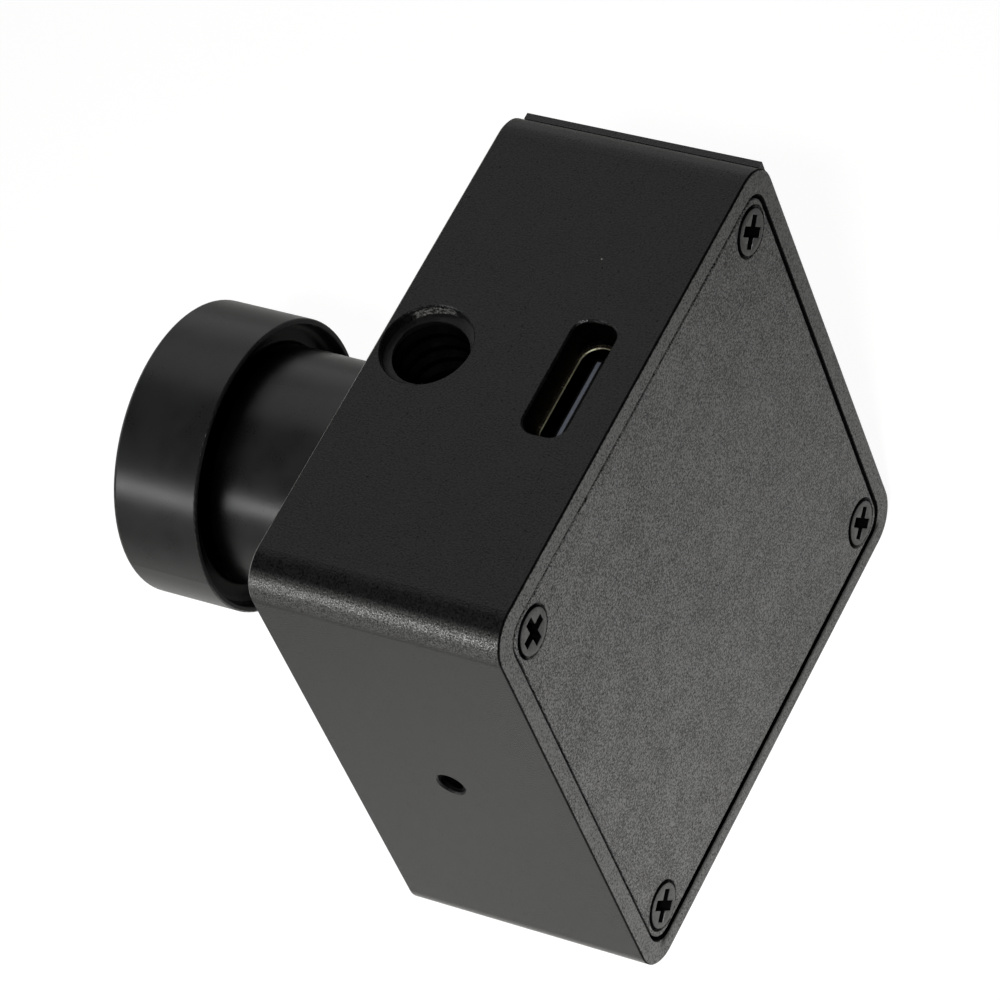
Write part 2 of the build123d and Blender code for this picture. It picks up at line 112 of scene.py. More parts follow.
class ThreadSizes(bpy.types.PropertyGroup):
    """Threads inside the tripod hole and the set screw's hole."""

    tripod_pitch: length_setting("Tripod pitch", "Pitch of the tripod thread", 1.27)
    tripod_crest: length_setting("Tripod crest", "Radius of the tripod thread's crest", 2.6)
    tripod_mouth: length_setting("Tripod mouth", "Smooth depth above the tripod thread", 0.85)
    set_pitch: length_setting("Set screw pitch", "Pitch of the set screw's thread", 0.4)
    set_crest: length_setting("Set screw crest", "Radius of the set screw thread's crest", 0.8)
    set_mouth: length_setting("Set screw mouth", "Smooth depth above the set screw's thread", 0.15)
    steps: IntProperty(name="Steps", description="Segments in one turn of a thread", default=64, min=12, max=128)


class ScrewSizes(bpy.types.PropertyGroup):
    """Heads of the four cover screws."""

    head_radius: length_setting("Head radius", "Radius of a screw's head", 1.6)
    reach: length_setting("Reach", "Distance of the screws from the middle of the cover, sideways and up", 16.3)
    head_height: length_setting("Head height", "Height of a screw's head", 1.05)
    stand: length_setting("Stand", "How far the heads stand above those of the frame", 0.06)
    edge: length_setting("Edge", "Rounding of a screw's head", 0.09)
    shank_radius: length_setting("Shank radius", "Radius of a screw's shank", 0.95)
    cross_length: length_setting("Cross length", "Length of the cross recess", 2.4)
    cross_width: length_setting("Cross width", "Width of one wing of the cross", 0.74)
    cross_depth: length_setting("Cross depth", "Depth of the cross recess", 0.85)
    turn_right_top: angle_setting("Right top turn", "Turn of the right top screw", -2.3)
    turn_right_bottom: angle_setting("Right bottom turn", "Turn of the right bottom screw", 56.4)
    turn_left_top: angle_setting("Left top turn", "Turn of the left top screw", 52.0)
    turn_left_bottom: angle_setting("Left bottom turn", "Turn of the left bottom screw", 56.0)


class PortSizes(bpy.types.PropertyGroup):
    """Mouth of the port's shell."""

    shell_width: length_setting("Shell width", "Width of the port's shell", 8.94)
    shell_height: length_setting("Shell height", "Height of the port's shell", 3.26)
    wall: length_setting("Wall", "Thickness of the shell", 0.3)
    lip: length_setting("Lip", "Radius of the rolled lip", 0.055)


class StudioSettings(bpy.types.PropertyGroup):
    """Camera, lamps and floor."""

    camera_place: place_setting("Camera", "Place of the camera", (0.1510, 0.1546, 0.2851))
    aim_place: place_setting("Aim", "Point at the middle of the picture", (-0.00102, -0.00681, 0.02108))
    roll: angle_setting("Roll", "Turn of the camera about its view", -25.05)
    lens: FloatProperty(name="Lens", description="Focal length in millimetres", default=184.34, min=1.0)
    strip: level_setting("Strip lamp", "Power of the narrow strip lamp low on the right", 0.95)
    panel: level_setting("Panel", "Power of the wide dim panel high in front", 0.46)
    spot: level_setting("Spot", "Power of the spot lamp that lights the floor and the cover", 15.2)
    spot_angle: angle_setting("Spot angle", "Full angle of the spot lamp", 15.6)
    studio: level_setting("Studio", "Brightness of the dark parts of the studio", 0.07)
    front_wall: level_setting("Front wall", "Brightness of the wall in front of the lens", 1.4)
    left_wall: level_setting("Left wall", "Brightness of the wall on the left", 0.7)
    floor: colour_setting("Floor", "Colour of the floor", (0.86, 0.86, 0.83))
    glow: level_setting("Glow", "Brightness that the floor is seen with", 1.16)
    shadow: level_setting("Shadow", "Share of lamp light in the floor as it is seen", 0.2, 1.0)
    mirrored: level_setting("Mirrored", "Share of lamp light in the floor as it is mirrored", 0.92, 1.0)


SETTINGS = (
    ("camera_colours", CameraColours),
    ("camera_threads", ThreadSizes),
    ("camera_screws", ScrewSizes),
    ("camera_port", PortSizes),
    ("camera_studio", StudioSettings),
)


class Wire:
    """A shader socket in an expression: arithmetic on it adds Math nodes."""

    def __init__(self, shader, socket):
        self.shader = shader
        self.socket = socket

    def math(self, operation, *values):
        numbered = dict(enumerate(values))
        return self.shader.node("ShaderNodeMath", {"operation": operation}, numbered)

    def __add__(self, other):
        return self.math("ADD", self, other)

    def __mul__(self, other):
        return self.math("MULTIPLY", self, other)

    def __sub__(self, other):
        return self.math("SUBTRACT", self, other)

    def __rsub__(self, other):
        return self.math("SUBTRACT", other, self)

    __radd__ = __add__
    __rmul__ = __mul__

    def between(self, low, high):
        """0 below low, 1 above high and smooth between them."""
        sockets = {"Value": self, "From Min": low, "From Max": high}
        return self.shader.node("ShaderNodeMapRange", {"interpolation_type": "SMOOTHSTEP"}, sockets)


class Shader:
    """The nodes of one material or of the world."""

    def __init__(self, owner):
        owner.use_nodes = True
        self.tree = owner.node_tree
        self.tree.nodes.clear()

    def node(self, kind, settings=None, sockets=None, output=0):
        """Adds a node, sets it up, fills its sockets with values or wires, and returns one output."""
        made = self.tree.nodes.new(kind)
        for name, value in (settings or {}).items():
            if name == "stops":
                self.set_stops(made.color_ramp, value)
            else:
                setattr(made, name, value)
        for name, value in (sockets or {}).items():
            if isinstance(value, Wire):
                self.tree.links.new(value.socket, made.inputs[name])
            else:
                made.inputs[name].default_value = value
        return Wire(self, made.outputs[output]) if made.outputs else None

    def least(self, value, limit):
        """The smaller of a value and a limit."""
        return self.node("ShaderNodeMath", {"operation": "MINIMUM"}, {0: value, 1: limit})

    def set_stops(self, ramp, stops):
        while len(ramp.elements) < len(stops):
            ramp.elements.new(1.0)
        for element, (position, colour) in zip(ramp.elements, stops):
            element.position = position
            element.color = (*colour, 1.0)

    def place(self):
        """The point on the object, in millimetres."""
        spot = self.node("ShaderNodeTexCoord", output="Object")
        return self.node("ShaderNodeVectorMath", {"operation": "SCALE"}, {0: spot, "Scale": 1000.0})

    def axes(self, place):
        """X, Y and Z of a point, as three wires."""
        split = self.node("ShaderNodeSeparateXYZ", sockets={0: place})
        outputs = split.socket.node.outputs
        return [Wire(self, socket) for socket in outputs]

    def noise(self, place, per_mm, detail=2.0, roughness=0.5):
        """Fractal noise, with this many features to a millimetre."""
        sockets = {"Vector": place, "Scale": per_mm, "Detail": detail, "Roughness": roughness}
        return self.node("ShaderNodeTexNoise", sockets=sockets)

    def cells(self, place, per_mm):
        """Distance to the nearest of a field of scattered points."""
        return self.node("ShaderNodeTexVoronoi", sockets={"Vector": place, "Scale": per_mm})

    def blend(self, amount, low, high):
        """A colour between two, by an amount from 0 to 1."""
        sockets = {"Factor": amount, "A": rgba(low), "B": rgba(high)}
        mix = self.node("ShaderNodeMix", {"data_type": "RGBA"}).socket.node
        for name, value in sockets.items():
            kind = "VALUE" if name == "Factor" else "RGBA"
            socket = next(s for s in mix.inputs if s.name == name and s.type == kind)
            if isinstance(value, Wire):
                self.tree.links.new(value.socket, socket)
            else:
                socket.default_value = value
        return Wire(self, next(s for s in mix.outputs if s.type == "RGBA"))

    def tint(self, colour, amount):
        """A colour times an amount."""
        if not isinstance(colour, Wire):
            colour = self.node("ShaderNodeCombineXYZ", sockets=dict(enumerate(colour[:3])))
        return self.node("ShaderNodeVectorMath", {"operation": "SCALE"}, {0: colour, "Scale": amount})

    def bump(self, height, depth_mm):
        """A normal from a height of 0 to 1, this deep in millimetres."""
        return self.node("ShaderNodeBump", sockets={"Height": height, "Distance": depth_mm * MM, "Strength": 1.0})

    def apart(self, value, middle):
        """How far a value is from the middle, either way."""
        return self.node("ShaderNodeMath", {"operation": "ABSOLUTE"}, {0: value - middle})

    def inside(self, value, middle, reach, soft=0.06):
        """1 where a value is within a reach of the middle, 0 outside it."""
        return 1.0 - self.apart(value, middle).between(reach, reach + soft)

    def away(self, first, second):
        """The distance from an axis, from the two measures across it."""
        return self.node("ShaderNodeMath", {"operation": "SQRT"}, {0: first * first + second * second})

    def surface(self, **sockets):
        """Ends the material in one principled surface."""
        named = {name.replace("_", " "): value for name, value in sockets.items()}
        shader = self.node("ShaderNodeBsdfPrincipled", sockets=named)
        self.node("ShaderNodeOutputMaterial", sockets={"Surface": shader})


def rgba(colour):
    """A colour with full alpha, or a wire as it is."""
    return colour if isinstance(colour, Wire) else (*colour[:3], 1.0)


def shade(colour, factor):
    """A colour made lighter or darker."""
    return tuple(min(1.0, channel * factor) for channel in colour[:3])


def new_finish(name):
    """An empty material and the shader that fills it."""
    material = bpy.data.materials.new(name)
    return material, Shader(material)


def settings(name):
    """One of the scene's groups of settings."""
    return getattr(bpy.context.scene, name)


def give_finish(node, material):
    """Puts a finish on a CAD node."""
    mesh = frame["nodes"][node].data
    mesh.materials.clear()
    mesh.materials.append(material)


def span(node):
    """Lowest corner, highest corner and middle of a CAD node, in metres."""
    low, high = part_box(node)
    return low, high, (low + high) / 2


def mount(name):
    """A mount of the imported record."""
    return next(m for m in frame["record"]["mounts"] if m["name"] == name)


def start_clean():
    """Leaves edit mode and deselects everything."""
    if bpy.context.object and bpy.context.object.mode == "EDIT":
        bpy.ops.object.mode_set(mode="OBJECT")
    bpy.ops.object.select_all(action="DESELECT")


def select_in_edit(piece, kind, test):
    """Selects the vertices, edges or faces of a piece in edit mode that pass a test."""
    bpy.ops.object.mode_set(mode="EDIT")
    bpy.ops.mesh.select_mode(type=kind)
    bpy.ops.mesh.select_all(action="DESELECT")
    mesh = bmesh.from_edit_mesh(piece.data)
    elements = {"VERT": mesh.verts, "EDGE": mesh.edges, "FACE": mesh.faces}[kind]
    for element in elements:
        if test(element):
            element.select = True
    mesh.select_flush_mode()
    bmesh.update_edit_mesh(piece.data)


def apply_place():
    """Moves the place, turn and size of the selected pieces into their meshes."""
    bpy.ops.object.transform_apply(location=True, rotation=True, scale=True)


def apply_modifiers(piece):
    """Applies every modifier of a piece, in order."""
    bpy.context.view_layer.objects.active = piece
    for modifier in list(piece.modifiers):
        bpy.ops.object.modifier_apply(modifier=modifier.name)


def finish_piece(piece, name, body, material, angle=30.0):
    """Names a piece, gives it its finish and lets it ride on a body."""
    start_clean()
    piece.name = piece.data.name = name
    bpy.context.view_layer.objects.active = piece
    piece.select_set(True)
    apply_place()
    bpy.ops.object.shade_smooth_by_angle(angle=math.radians(angle))
    piece.data.materials.clear()
    piece.data.materials.append(material)
    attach(piece, body)
    return piece


def case_painted_shade(shader, place):
    """Painted shade: 1 down in the case's holes, in the gap below the cover and on the broken back edge, where the
    case is painted black for the shade there.
    """
    x, y, z = shader.axes(place)
    high = span("case_body")[1] / MM
    tripod = Vector(mount("tripod_thread")["pos_m"]) / MM
    port = Vector(mount("usb_port")["pos_m"]) / MM
    screw = span("lens_set_screw")[2] / MM
    tripod_reach, slot_reach, slot_rise, screw_reach, gap_reach = 3.25, 4.63, 1.63, 1.02, 17.6

    # Painted shade down the tripod hole, the port's slot and the set screw's hole.
    in_tripod = 1.0 - shader.away(x - tripod.x, y - tripod.y).between(tripod_reach, tripod_reach + 0.1)
    in_tripod = in_tripod * (1.0 - z.between(high.z - 1.4, high.z - 0.8))
    in_slot = shader.inside(x, port.x, slot_reach) * shader.inside(y, port.y, slot_rise)
    in_slot = in_slot * (1.0 - z.between(high.z - 0.3, high.z - 0.05))
    in_side = 1.0 - shader.away(y - screw.y, z - screw.z).between(screw_reach, screw_reach + 0.08)
    in_side = in_side * (1.0 - x.between(high.x - 0.5, high.x - 0.15))
    # Painted shade in the gap below the cover, along its lower side.
    gap = z.between(0.85, 1.5) * (1.0 - z.between(1.5, 1.8))
    gap = gap * shader.inside(x, 0.0, gap_reach, 0.8) * y.between(high.y - 0.3, high.y - 0.15) * 0.8
    # Painted shade: a dark line round the broken back edge.
    edge = y.between(high.y - 0.2, high.y - 0.14) * (1.0 - y.between(high.y - 0.03, high.y - 0.01)) * 0.8
    return shader.least(in_tripod + in_slot + in_side + gap + edge, 1.0)


def painted_edge_glint(shader, place):
    """Painted glint: 1 where two long rounded edges of the case turn into its right side, where the highlight falls;
    there the colour is painted lighter and more metallic.
    """
    x, y, z = shader.axes(place)
    low, high, middle = (corner / MM for corner in span("case_body"))
    side = x.between(high.x - 1.3, high.x - 0.5)
    ends = shader.apart(z, middle.z).between(high.x - 2.6, high.x - 1.8)
    length = y.between(low.y + 0.05, low.y + 0.2) * (1.0 - y.between(high.y - 0.2, high.y - 0.05))
    return side * ends * length


def painted_highlights(shader, place):
    """Painted highlights: a light line on the broken front edge and a grainy light patch on the far wall at the
    mouth of the tripod thread.
    """
    x, y, z = shader.axes(place)
    front = span("case_body")[0].y / MM
    top = span("case_body")[1].z / MM
    tripod = Vector(mount("tripod_thread")["pos_m"]) / MM
    edge = y.between(front + 0.004, front + 0.012) * (1.0 - y.between(front + 0.06, front + 0.08))
    patch = shader.inside(x, tripod.x - 2.9, 0.5, 0.4) * shader.inside(y, tripod.y - 0.95, 1.0, 0.7)
    patch = patch * (1.0 - z.between(top - 0.3, top - 0.15)) * z.between(top - 1.3, top - 0.9)
    # Noise that breaks the painted patch into grains.
    highlight_grain = shader.noise(place, 6.0, 2.0).between(0.35, 0.75)
    return shader.least(edge * 0.55 + patch * highlight_grain * 0.6, 1.0)


def blasted_finish(name, colour, roughness, grain_depth, contrast, dust=0.0, rim_colour=None, gloss=0.5):
    """Fine blasted and anodised aluminium: grain, a slight mottle, dark pores and a few specks of dust.

    A rim colour also paints the case's back rim in that colour, and brings painted shade in the case's holes, gaps
    and back edge, a painted glint on two long edges and painted highlights on the front edge and in the tripod hole.
    """
    material, shader = new_finish(name)
    place = shader.place()
    grain = shader.noise(place, 7.5, 1.0, 0.6)
    cloud = shader.noise(place, 0.5, 3.0)
    tone = grain * 0.85 + cloud * 0.15
    # The case's back rim is painted in the rim colour, the cover's lighter one, instead of the case's black.
    if rim_colour:
        back = span("case_body")[1].y / MM
        on_rim = shader.axes(place)[1].between(back - 0.06, back - 0.02)
        colour = shader.blend(on_rim, colour, rim_colour)
    base = shader.tint(colour, tone.between(0.34, 0.66) * (2 * contrast) + (1.0 - contrast))
    pores = shader.noise(place, 4.2, 1.0).between(0.66, 0.74) * contrast
    if dust:
        specks = shader.cells(place, 0.22)
        base = shader.blend((1.0 - specks.between(0.01, 0.022)) * dust, base, (0.3, 0.3, 0.28))
    metal = pores * 0.9 + (1.0 - tone.between(0.34, 0.66)) * (contrast * 0.4)
    base = shader.blend(metal, base, PORE_AND_SHADE_BLACK)
    shine = grain * 0.14 + cloud * 0.05 + (roughness - 0.1)
    if rim_colour:
        # Painted glint on the two long edges by the right side, broken up by noise.
        painted_glint = painted_edge_glint(shader, place) * shader.noise(place, 11.0, 1.0).between(0.25, 0.8)
        # Painted shade: the case is painted black and metallic down in its holes and gaps.
        hollow = case_painted_shade(shader, place)
        base = shader.blend(painted_glint, base, (0.18, 0.18, 0.172))
        base = shader.blend(hollow, base, PORE_AND_SHADE_BLACK)
        # Painted highlights on the front edge and in the mouth of the tripod hole.
        base = shader.blend(painted_highlights(shader, place), base, (0.5, 0.5, 0.47))
        metal = shader.least(metal + painted_glint * 0.6 + hollow, 1.0)
        shine = shine + hollow * 0.5
    shader.surface(
        Base_Color=base, Roughness=shine, Metallic=metal, Specular_IOR_Level=gloss,
        Normal=shader.bump(grain, grain_depth),
    )
    return material


def turned_finish(name, colour, roughness, gloss=0.5):
    """Satin black turned aluminium: faint turning lines round the axis, and baffle grooves in the bore.

    The hollow behind the head and the neck beside it are painted black and metallic as painted shade.
    """
    material, shader = new_finish(name)
    place = shader.place()
    x, y, z = shader.axes(place)
    radius = shader.away(x, z - span("lens_barrel")[2].z / MM)
    lines = shader.node("ShaderNodeTexNoise", {"noise_dimensions": "1D"}, {"W": y, "Scale": 14.0, "Detail": 4.0})
    grain = shader.noise(place, 9.0, 2.0)
    cloud = shader.noise(place, 0.5, 2.0)
    in_bore = 1.0 - radius.between(7.6, 7.7)
    groove = shader.node("ShaderNodeMath", {"operation": "PINGPONG"}, {0: y, 1: 0.2}) * 5.0
    base = shader.blend(cloud.between(0.3, 0.7), shade(colour, 0.85), shade(colour, 1.2))
    forward = y * -1.0
    # Painted shade in the hollow behind the head and along the neck beside it.
    in_hollow = forward.between(24.38, 24.5) * (1.0 - forward.between(25.7, 25.8))
    hollow = (1.0 - radius.between(10.1, 10.2)) * in_hollow * 0.8
    neck = (1.0 - radius.between(8.6, 8.7)) * forward.between(21.4, 24.6) * 0.85
    black = shader.least(hollow + neck, 1.0)
    base = shader.blend(black, base, PORE_AND_SHADE_BLACK)
    shine = cloud * 0.06 + grain * 0.06 + in_bore * 0.4 + (roughness - 0.06)
    height = lines * 0.03 + grain * 0.02 + in_bore * groove * 0.9
    shader.surface(
        Base_Color=base, Roughness=shine, Metallic=black, Specular_IOR_Level=gloss, Normal=shader.bump(height, 0.1)
    )
    return material


def oxide_finish(name, colour, roughness=0.4):
    """Black oxide on steel, lighter where it is rubbed, and painted black in the cross and round the head as painted
    shade.
    """
    material, shader = new_finish(name)
    place = shader.place()
    grain = shader.noise(place, 6.0, 3.0)
    rub = shader.noise(place, 1.6, 3.0, 0.7).between(0.45, 0.75)
    top = (span("cover_screws")[1].y + settings("camera_screws").stand) / MM
    on_top = shader.axes(place)[1].between(top - 0.07, top - 0.02)
    tone = grain.between(0.3, 0.7) * 0.6 + rub * 0.5 + 0.5
    # Painted shade: below the top of the head, in the cross and round its edge, the screw is painted black.
    base = shader.blend(on_top, (0.001, 0.001, 0.001), shader.tint(colour, tone))
    below = 1.0 - on_top
    shine = grain * 0.15 + below * 0.35 + (roughness - 0.08)
    shader.surface(Base_Color=base, Roughness=shine, Metallic=below * 0.95, Normal=shader.bump(grain, 0.015))
    return material


def matt_ring_finish(name, colour, roughness=0.6, metallic=0.0):
    """Dull turned rings and spacers, with close concentric lines."""
    material, shader = new_finish(name)
    x, y, z = shader.axes(shader.place())
    radius = shader.away(x, z - span("lens_barrel")[2].z / MM)
    lines = shader.node("ShaderNodeTexNoise", {"noise_dimensions": "1D"}, {"W": radius, "Scale": 9.0, "Detail": 3.0})
    base = shader.blend(lines, shade(colour, 0.7), shade(colour, 1.4))
    shine = lines * 0.15 + (roughness - 0.08)
    shader.surface(Base_Color=base, Roughness=shine, Metallic=metallic, Normal=shader.bump(lines, 0.02))
    return material


def glass_finish(name, tint, reflection, ior=1.6):
    """Coated optical glass: clear, with a tinted reflection and a trace of haze."""
    material, shader = new_finish(name)
    haze = shader.noise(shader.place(), 0.8, 3.0).between(0.5, 0.9)
    colour = shader.blend(haze, tint, shade(tint, 0.96))
    shader.surface(
        Base_Color=colour, Roughness=haze * 0.01, Transmission_Weight=1.0, IOR=ior,
        Specular_Tint=rgba(reflection),
    )
    return material


def laminate_finish(name, colour):
    """Circuit board: solder mask over copper tracks, with the laminate's weave, and painted shade at its top edge.
    """
    material, shader = new_finish(name)
    place = shader.place()
    tracks = shader.node(
        "ShaderNodeTexBrick", {"offset": 0.5},
        {"Vector": place, "Scale": 0.9, "Mortar Size": 0.03, "Mortar Smooth": 0.1}, output="Fac",
    )
    weave = shader.node("ShaderNodeTexChecker", sockets={"Vector": place, "Scale": 2.2}, output="Fac")
    base = shader.blend(tracks * 0.7, colour, shade(colour, 2.4))
    base = shader.blend(weave * 0.12, base, shade(colour, 0.5))
    # Painted shade: the board is painted black along its top edge, under the port.
    top = span("main_board")[1].z / MM
    at_top = shader.axes(place)[2].between(top - 3.0, top - 2.5)
    base = shader.blend(at_top, base, (0.001, 0.001, 0.001))
    height = tracks * 0.6 + shader.noise(place, 3.0) * 0.1
    shader.surface(Base_Color=base, Roughness=0.32 + weave * 0.04, Normal=shader.bump(height, 0.03))
    return material


def thread_finish(name, colour):
    """Threads down in a hole, near black and metallic as painted shade, lightly oiled in patches, with a first turn
    painted lighter as painted light near the mouth.
    """
    material, shader = new_finish(name)
    place = shader.place()
    grain = shader.noise(place, 5.0, 3.0)
    oil = shader.noise(place, 0.9, 2.0).between(0.4, 0.7)
    top = span("case_body")[1].z / MM
    # Painted light: the first turn near the mouth is lighter and not metallic.
    first_turn = shader.axes(place)[2].between(top - 1.7, top - 1.0) * 0.8
    base = shader.blend(oil, shade(colour, 0.3), colour)
    base = shader.blend(first_turn, base, shade(colour, 3.0))
    below = 1.0 - first_turn
    shine = grain * 0.2 + below * 0.2 + 0.35
    shader.surface(Base_Color=base, Roughness=shine, Metallic=below * 0.97, Normal=shader.bump(grain, 0.03))
    return material


def tongue_finish(name, colour, roughness=0.35):
    """The port's tongue: a pale flat tip, with the rest painted black and metallic as painted shade."""
    material, shader = new_finish(name)
    place = shader.place()
    x, y, z = shader.axes(place)
    top = span("port_tongue")[1].z / MM
    port = Vector(mount("usb_port")["pos_m"]) / MM
    grain = shader.noise(place, 8.0, 2.0)
    # Painted shade: only a narrow strip at the top of the tip keeps the tongue's colour.
    tip = shader.inside(y, port.y - 0.06, 0.11, 0.05) * shader.inside(x, port.x, 3.1)
    tip = tip * z.between(top - 0.12, top - 0.04)
    base = shader.blend(tip, (0.002, 0.002, 0.002), shader.tint(colour, grain * 0.8 + 0.5))
    shader.surface(
        Base_Color=base, Roughness=grain * 0.1 + (roughness - 0.05), Metallic=(1.0 - tip) * 0.9,
        Normal=shader.bump(grain, 0.006),
    )
    return material


def moulded_finish(name, colour, roughness=0.5, grain_per_mm=8.0):
    """Moulded plastic or ceramic with a fine sparked grain."""
    material, shader = new_finish(name)
    place = shader.place()
    grain = shader.noise(place, grain_per_mm, 2.0)
    cloud = shader.noise(place, 0.6, 2.0)
    base = shader.blend(cloud, shade(colour, 0.85), shade(colour, 1.15))
    shine = grain * 0.12 + (roughness - 0.06)
    shader.surface(Base_Color=base, Roughness=shine, Normal=shader.bump(grain, 0.01))
    return material


def plated_finish(name, colour, roughness=0.25, dark_below=None):
    """Plated metal with faint drawing lines and dull patches, painted near black below a height in millimetres as
    painted shade.
    """
    material, shader = new_finish(name)
    place = shader.place()
    streak = shader.node("ShaderNodeVectorMath", {"operation": "MULTIPLY"}, {0: place, 1: (1.0, 1.0, 0.08)})
    lines = shader.noise(streak, 10.0, 3.0)
    dull = shader.noise(place, 1.2, 2.0).between(0.4, 0.8)
    base = shader.blend(dull, colour, shade(colour, 0.7))
    # Painted shade below the given height, used for the inside of the port's shell.
    if dark_below:
        above = shader.axes(place)[2].between(dark_below - 0.1, dark_below)
        base = shader.blend(above, (0.004, 0.003, 0.002), base)
    shine = lines * 0.1 + dull * 0.15 + (roughness - 0.08)
    shader.surface(Base_Color=base, Roughness=shine, Metallic=1.0, Normal=shader.bump(lines, 0.004))
    return material


def foam_finish(name, colour):
    """Open-celled foam."""
    material, shader = new_finish(name)
    cells = shader.cells(shader.place(), 6.0)
    base = shader.blend(cells, shade(colour, 0.3), shade(colour, 1.6))
    shader.surface(Base_Color=base, Roughness=0.95, Normal=shader.bump(cells, 0.08))
    return material


def sensor_finish(name, colour):
    """The sensor: a ceramic body with gold pads round a dark, faintly iridescent die."""
    material, shader = new_finish(name)
    place = shader.place()
    x, y, z = shader.axes(place)
    middle = span("image_sensor")[2] / MM
    across = shader.apart(x, middle.x)
    along = shader.apart(z, middle.z)
    die = (1.0 - across.between(3.1, 3.15)) * (1.0 - along.between(2.3, 2.35))
    pads = (across.between(3.5, 3.52) + along.between(2.7, 2.72)).between(0.4, 0.6)
    dots = shader.cells(place, 1.6).between(0.2, 0.26)
    base = shader.blend(shader.noise(place, 2.0), shade(colour, 0.8), colour)
    base = shader.blend(pads * (1.0 - dots), base, (0.8, 0.6, 0.25))
    film = shader.blend(shader.noise(place, 0.3), (0.03, 0.02, 0.06), (0.02, 0.06, 0.05))
    base = shader.blend(die, base, film)
    shader.surface(Base_Color=base, Roughness=0.5 - die * 0.35)
    return material


def dress_nodes(finishes):
    """Gives each CAD node the finish made for its material slot."""
    for node, slot in RECORD_SLOTS.items():
        give_finish(node, finishes[slot])


def make_finishes():
    """Every finish, by the material slot that it belongs to."""
    colours = settings("camera_colours")
    black = (0.012, 0.012, 0.012)
    return {
        "case_anodised": blasted_finish("case anodising", colours.case, 0.3, 0.03, 0.5, 1.0, colours.cover, 0.28),
        "cover_anodised": blasted_finish("cover anodising", colours.cover, 0.36, 0.06, 0.9, 0.3, None, 0.5),
        "plate_anodised": blasted_finish("plate anodising", shade(colours.case, 1.5), 0.42, 0.04, 0.25),
        "lens_anodised": turned_finish("lens anodising", colours.lens, 0.29, 0.32),
        "ring_black": matt_ring_finish("ring black", black),
        "spacer_brass": matt_ring_finish("blackened brass", (0.03, 0.025, 0.018), 0.5, 0.6),
        "screw_black": oxide_finish("screw oxide", colours.screws),
        "optical_glass": glass_finish("optical glass", (1.0, 1.0, 1.0), colours.coating),
        "filter_glass": glass_finish("filter glass", (0.72, 0.93, 0.92), (0.9, 0.35, 0.3), 1.5),
        "board_laminate": laminate_finish("board laminate", colours.board),
        "foam": foam_finish("gasket foam", (0.02, 0.02, 0.02)),
        "sensor_ceramic": sensor_finish("sensor ceramic", (0.2, 0.19, 0.18)),
        "port_metal": plated_finish("port plating", colours.port_metal, 0.25, span("port_shell")[1].z / MM - 0.1),
        "port_plastic": tongue_finish("port plastic", colours.tongue),
        "contact_gold": plated_finish("contact gold", (0.85, 0.6, 0.22), 0.2),
        "chip_black": moulded_finish("chip mould", (0.018, 0.018, 0.019), 0.6),
        "crystal_can": plated_finish("crystal can", (0.72, 0.72, 0.7), 0.3),
        "inductor_grey": moulded_finish("inductor powder", (0.09, 0.09, 0.092), 0.7, 3.0),
        "capacitor_tan": moulded_finish("capacitor ceramic", (0.4, 0.27, 0.16), 0.45),
        "resistor_black": moulded_finish("resistor film", (0.015, 0.015, 0.015), 0.4),
        # Painted shade: the threads are painted near black.
        "thread": thread_finish("thread black", (0.002, 0.002, 0.002)),
        # Painted highlight: the lip's plating is a paler copy of the shell's, so the rolled lip shows as a bright
        # line.
        "lip": plated_finish("lip plating", (0.95, 0.9, 0.64), 0.45),
    }


def thread_profile(root_radius, crest_radius, pitch):
    """One section of a thread's ridge, a ring of four edges in the XZ plane."""
    depth = root_radius - crest_radius
    foot = pitch * 7 / 8
    crest = foot - 2 * depth * math.tan(math.radians(30))
    start_clean()
    middle = (root_radius + crest_radius) / 2
    bpy.ops.mesh.primitive_plane_add(size=1, location=(middle, 0, 0), rotation=(math.pi / 2, 0, 0))
    piece = bpy.context.object
    piece.scale = (depth, foot, 1)
    apply_place()
    select_in_edit(piece, "VERT", lambda vertex: vertex.co.x < middle)
    bpy.ops.transform.resize(value=(1, 1, crest / foot), center_override=(middle, 0, 0))
    bpy.ops.mesh.select_all(action="SELECT")
    bpy.ops.mesh.delete(type="ONLY_FACE")
    bpy.ops.object.mode_set(mode="OBJECT")
    return piece


def wind_thread(root_radius, crest_radius, pitch, length, steps):
    """A helical ridge wound about Z, from z = 0 up to a flat cut at this length."""
    piece = thread_profile(root_radius, crest_radius, pitch)
    turns = length / pitch + 1
    screw = piece.modifiers.new("wind", "SCREW")
    screw.axis = "Z"
    screw.angle = 2 * math.pi * turns
    screw.screw_offset = pitch * turns
    screw.steps = screw.render_steps = round(steps * turns)
    screw.use_merge_vertices = False
    apply_modifiers(piece)
    bpy.ops.object.mode_set(mode="EDIT")
    bpy.ops.mesh.select_all(action="SELECT")
    bpy.ops.mesh.bisect(plane_co=(0, 0, length), plane_no=(0, 0, 1), clear_outer=True)
    bpy.ops.mesh.select_all(action="SELECT")
    bpy.ops.mesh.bisect(plane_co=(0, 0, 0), plane_no=(0, 0, 1), clear_inner=True)
    bpy.ops.mesh.select_all(action="DESELECT")
    bpy.ops.mesh.select_mode(type="EDGE")
    bpy.ops.mesh.select_non_manifold(extend=False, use_boundary=True)
    bpy.ops.mesh.edge_face_add()
    bpy.ops.mesh.select_all(action="SELECT")
    bpy.ops.mesh.normals_make_consistent(inside=False)
    bpy.ops.object.mode_set(mode="OBJECT")
    return piece


